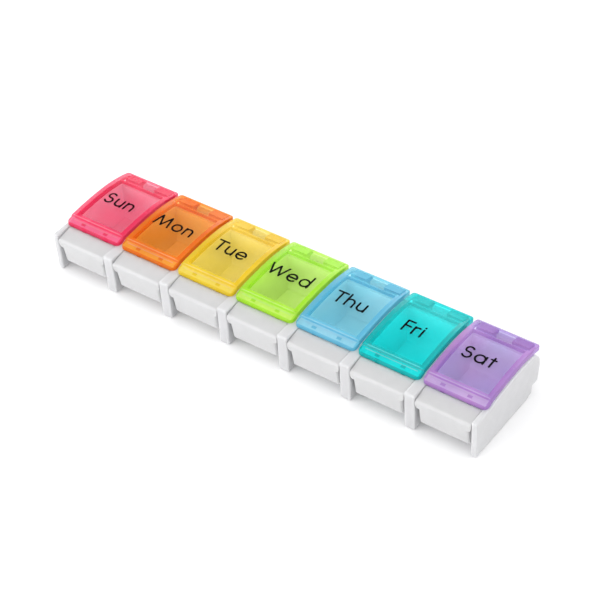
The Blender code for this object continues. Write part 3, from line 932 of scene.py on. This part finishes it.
class Nodes:
    """A material's node tree, with short ways to add what these looks share."""

    LOW, HIGH = 0.3, 0.7  # most values of a noise lie between these

    def __init__(self, name):
        self.material = bpy.data.materials.new(name)
        self.material.use_nodes = True
        self.tree = self.material.node_tree
        self.shader = self.tree.nodes["Principled BSDF"]
        self.place = self.tree.nodes.new("ShaderNodeTexCoord").outputs["Object"]

    def link(self, source, target):
        """Joins an output to an input, which is a socket or the name of one on the shader."""
        inputs = self.shader.inputs
        self.tree.links.new(source, inputs[target] if isinstance(target, str) else target)

    def stretched(self, scale):
        """The object's own coordinates, scaled along each axis."""
        node = self.tree.nodes.new("ShaderNodeMapping")
        node.inputs["Scale"].default_value = scale
        self.link(self.place, node.inputs["Vector"])
        return node.outputs["Vector"]

    def noise(self, scale, detail=3.0, place=None):
        """Cloudy noise around one half, with scale lumps to the metre."""
        node = self.tree.nodes.new("ShaderNodeTexNoise")
        node.inputs["Scale"].default_value = scale
        node.inputs["Detail"].default_value = detail
        self.link(place or self.place, node.inputs["Vector"])
        return node.outputs["Fac"]

    def ramp(self, source, low, high, at_low=LOW, at_high=HIGH):
        """A noise turned into a colour between two."""
        node = self.tree.nodes.new("ShaderNodeValToRGB")
        for element, colour, position in zip(
            node.color_ramp.elements, (low, high), (at_low, at_high)
        ):
            element.color = (*colour, 1.0)
            element.position = position
        self.link(source, node.inputs["Fac"])
        return node.outputs["Color"]

    def span(self, source, low, high):
        """A noise turned into a number between two."""
        node = self.tree.nodes.new("ShaderNodeMapRange")
        node.inputs["From Min"].default_value = self.LOW
        node.inputs["From Max"].default_value = self.HIGH
        node.inputs["To Min"].default_value = low
        node.inputs["To Max"].default_value = high
        self.link(source, node.inputs["Value"])
        return node.outputs["Result"]

    def bump(self, source, distance, strength, under=None):
        """A normal for a relief, on top of another relief if one is given."""
        node = self.tree.nodes.new("ShaderNodeBump")
        node.inputs["Strength"].default_value = strength
        node.inputs["Distance"].default_value = distance
        self.link(source, node.inputs["Height"])
        if under:
            self.link(under, node.inputs["Normal"])
        return node.outputs["Normal"]

    def set(self, name, value):
        """Gives one of the shader's inputs a fixed value."""
        self.shader.inputs[name].default_value = value


def shade(colour, factor):
    """A colour made lighter or darker."""
    return tuple(min(1.0, c * factor) for c in colour)


def paler(colour, share):
    """A colour mixed with white."""
    return tuple(c + (1.0 - c) * share for c in colour)


def deepened(tint, power):
    """The tint of a longer way through the plastic."""
    return tuple(t**power for t in tint)


def white_plastic(name, colour):
    """Milky moulded polypropylene: faint mottling, a fine matte grain and a soft sheen."""
    made = Nodes(name)
    mottle = made.noise(190.0, 4.0)
    made.link(made.ramp(mottle, shade(colour, 0.975), shade(colour, 1.02)), "Base Color")
    made.link(made.span(made.noise(700.0), 0.40, 0.52), "Roughness")
    flow = made.bump(made.noise(120.0, 2.0), 0.00004, 0.25)
    grain = made.bump(made.noise(5200.0, 2.0), 0.000012, 0.35, flow)
    made.link(grain, "Normal")
    made.set("IOR", POLYPROPYLENE_IOR)
    made.set("Subsurface Weight", 0.8)
    made.set("Subsurface Radius", (1.0, 1.0, 1.0))
    made.set("Subsurface Scale", 0.004)
    return made.material


def tinted_plastic(name, colour, tint, solid, roughness):
    """Translucent polypropylene: part scatters its own colour, part lets tinted light through.

    solid is the share that scatters.
    """
    made = Nodes(name)
    cloud = made.noise(95.0, 2.0, made.stretched((1.0, 0.7, 1.0)))
    tone = made.ramp(cloud, shade(colour, 0.95), shade(colour, 1.03))
    made.link(tone, "Base Color")
    rough = made.span(made.noise(420.0), roughness - 0.05, roughness + 0.07)
    made.link(rough, "Roughness")
    flow = made.bump(made.noise(90.0, 1.0), 0.00004, 0.2)
    made.link(flow, "Normal")
    made.set("IOR", POLYPROPYLENE_IOR)
    made.set("Specular IOR Level", 0.4)
    through = made.tree.nodes.new("ShaderNodeBsdfTransparent")
    patches = made.noise(48.0, 1.0, made.stretched((1.0, 0.8, 1.0)))
    made.link(made.ramp(patches, deepened(tint, 1.4), tint, 0.36, 0.62), through.inputs["Color"])
    mix = made.tree.nodes.new("ShaderNodeMixShader")
    haze = made.span(made.noise(60.0, 1.0), solid - 0.06, solid + 0.06)
    made.link(haze, mix.inputs["Fac"])
    made.link(through.outputs["BSDF"], mix.inputs[1])
    made.link(made.shader.outputs["BSDF"], mix.inputs[2])
    made.link(mix.outputs["Shader"], made.tree.nodes["Material Output"].inputs["Surface"])
    return made.material


def ink(name):
    """Pad-printed black ink, slightly uneven."""
    made = Nodes(name)
    tone = made.ramp(made.noise(1500.0), (0.0015, 0.0015, 0.002), (0.004, 0.004, 0.005))
    made.link(tone, "Base Color")
    made.link(made.span(made.noise(2600.0), 0.55, 0.7), "Roughness")
    made.set("Specular IOR Level", 0.02)
    return made.material


def steel(name, colour, scale):
    """Drawn wire: fine lines along its length."""
    made = Nodes(name)
    lines = made.noise(1.0, 3.0, made.stretched(scale))
    made.link(made.ramp(lines, shade(colour, 0.85), shade(colour, 1.1)), "Base Color")
    made.link(made.span(lines, 0.22, 0.38), "Roughness")
    made.set("Metallic", 1.0)
    return made.material


def floor_finish(name):
    """A pale studio surface with a very faint mottle."""
    made = Nodes(name)
    tone = made.ramp(made.noise(6.0), (0.93, 0.93, 0.935), (0.95, 0.95, 0.955))
    made.link(tone, "Base Color")
    made.set("Roughness", 0.9)
    made.set("Specular IOR Level", 0.1)
    return made.material


# ---- the pieces -------------------------------------------------------------------------
# each lid's own colour, and the tint of what shows through one of its surfaces
TINTS = {
    "sun": ((1.00, 0.035, 0.15), (1.00, 0.79, 0.84)),
    "mon": ((1.00, 0.235, 0.003), (1.00, 0.82, 0.47)),
    "tue": ((1.00, 0.74, 0.02), (1.00, 0.95, 0.67)),
    "wed": ((0.52, 0.95, 0.03), (0.93, 1.00, 0.75)),
    "thu": ((0.18, 0.60, 0.86), (0.79, 0.98, 0.99)),
    "fri": ((0.00, 0.78, 0.78), (0.30, 1.00, 1.00)),
    "sat": ((0.64, 0.31, 0.72), (0.84, 0.86, 0.98)),
}
RIM_DEPTHS = dict.fromkeys(DAYS, 0.86)  # how much of the lid's own colour its rim keeps
RIM_DEPTHS["fri"] = 0.58

tray_finish = white_plastic("tray_plastic", (0.535, 0.535, 0.545))
# the same plastic painted lighter: painted light inside the compartments, for light that comes
# in through the translucent walls and lids
lightened_inside_finish = white_plastic("compartment_plastic_painted_light", (0.80, 0.80, 0.81))
button_finish = white_plastic("button_plastic", (0.525, 0.525, 0.53))
ink_finish = ink("ink")
pin_finish = steel("pin_wire", (0.62, 0.63, 0.65), (300.0, 6000.0, 6000.0))
spring_finish = steel("spring_wire", (0.55, 0.56, 0.58), (2500.0, 2500.0, 2500.0))

tray_shell = make_piece("tray_shell", build_tray(), [tray_finish, lightened_inside_finish], "tray")
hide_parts("base_tray")

lid_mesh, button_mesh, spring_mesh = build_lid(), build_button(), build_spring()
for day in DAYS:
    middle = day_middle(day)
    colour, tint = TINTS[day]
    depth = RIM_DEPTHS[day]
    rim, rim_tint = shade(colour, depth), deepened(tint, 1.5)
    edge, edge_tint = shade(colour, 0.84 * depth), deepened(tint, 2.0)
    # the lip is painted paler than the lid's own colour: painted light from the lit white cap
    # and rail below, on top of what its see-through share shows
    lip = shade(deepened(colour, 0.5), 0.93)
    lid_finishes = [  # in the order of CLEAR, TINTED_RIM, EDGE, PAINTED_HIGHLIGHT, LIP
        tinted_plastic("lid_clear_" + day, colour, tint, solid=0.20, roughness=0.26),
        tinted_plastic("lid_rim_" + day, rim, rim_tint, solid=0.48, roughness=0.22),
        tinted_plastic("lid_edge_" + day, edge, edge_tint, solid=0.55, roughness=0.2),
        # painted highlight lines: the lid's colour mixed with white
        tinted_plastic("lid_painted_highlight_" + day, paler(colour, 0.35), tint, solid=0.42, roughness=0.2),
        tinted_plastic("lid_lip_" + day, lip, tint, solid=0.46, roughness=0.24),
    ]
    lid = make_piece("lid_shell_" + day, lid_mesh, lid_finishes, "lid_" + day, middle)
    lid.visible_shadow = False  # stands in for the light that the real lids scatter down
    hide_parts("lid_" + day)
    word_mesh = build_word(day.capitalize())
    make_piece("lid_day_name_" + day, word_mesh, [ink_finish], "lid_" + day, middle)
    button = make_piece(
        "button_cap_" + day, button_mesh, [button_finish], "button_" + day, middle
    )
    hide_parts("button_" + day)
    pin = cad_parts["hinge_pin_" + day]
    pin.data.materials.clear()
    pin.data.materials.append(pin_finish)
    coil = make_piece("spring_coil_" + day, spring_mesh, [spring_finish], "tray", middle, 80.0)
    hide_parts("button_spring_" + day)
    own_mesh(coil)

# ---- floor, light, camera ---------------------------------------------------------------
floor_mesh = bmesh.new()
bmesh.ops.create_circle(floor_mesh, cap_ends=True, segments=96, radius=4.0)
floor = to_object("floor", floor_mesh)
floor.location.z = -0.2 * MM
floor.data.materials.append(floor_finish("studio_floor"))

world = bpy.data.worlds.new("studio")
bpy.context.scene.world = world
world.use_nodes = True
surround = world.node_tree.nodes["Background"].inputs
surround["Color"].default_value = (1.0, 1.0, 1.0, 1.0)
surround["Strength"].default_value = 1.1


def soft_light(name, location, size, power):
    """A square softbox aimed at the middle of the object."""
    data = bpy.data.lights.new(name, "AREA")
    data.shape = "SQUARE"
    data.size = size
    data.energy = power
    lamp = bpy.data.objects.new(name, data)
    lamp.location = location
    aim = Vector((0.0, 0.0, 0.015)) - Vector(location)
    lamp.rotation_mode = "QUATERNION"
    lamp.rotation_quaternion = aim.to_track_quat("-Z", "Y")
    bpy.context.scene.collection.objects.link(lamp)
    return lamp


soft_light("key", (-0.55, -0.95, 0.50), 1.0, 6.2)
soft_light("back", (-0.50, 0.90, 0.50), 0.5, 2.4).data.use_shadow = False  # as for the lids
soft_light("fill", (1.10, -0.10, 0.35), 0.8, 1.5)

camera_data = bpy.data.cameras.new("camera")
camera_data.lens = 102.1
camera_data.sensor_width = 36.0
camera = bpy.data.objects.new("camera", camera_data)
AZIMUTH, ELEVATION, DISTANCE = math.radians(34.5), math.radians(39.52), 0.7576
target = Vector((0.0031, 0.0057, 0.0125))
back = Vector(
    (
        math.sin(AZIMUTH) * math.cos(ELEVATION),
        -math.cos(AZIMUTH) * math.cos(ELEVATION),
        math.sin(ELEVATION),
    )
)
camera.location = target + back * DISTANCE
camera.rotation_mode = "QUATERNION"
camera.rotation_quaternion = (-back).to_track_quat("-Z", "Y")
camera_data.clip_start = 0.01
camera_data.clip_end = 50.0
bpy.context.scene.collection.objects.link(camera)
bpy.context.scene.camera = camera
bpy.context.scene.view_settings.view_transform = "Standard"
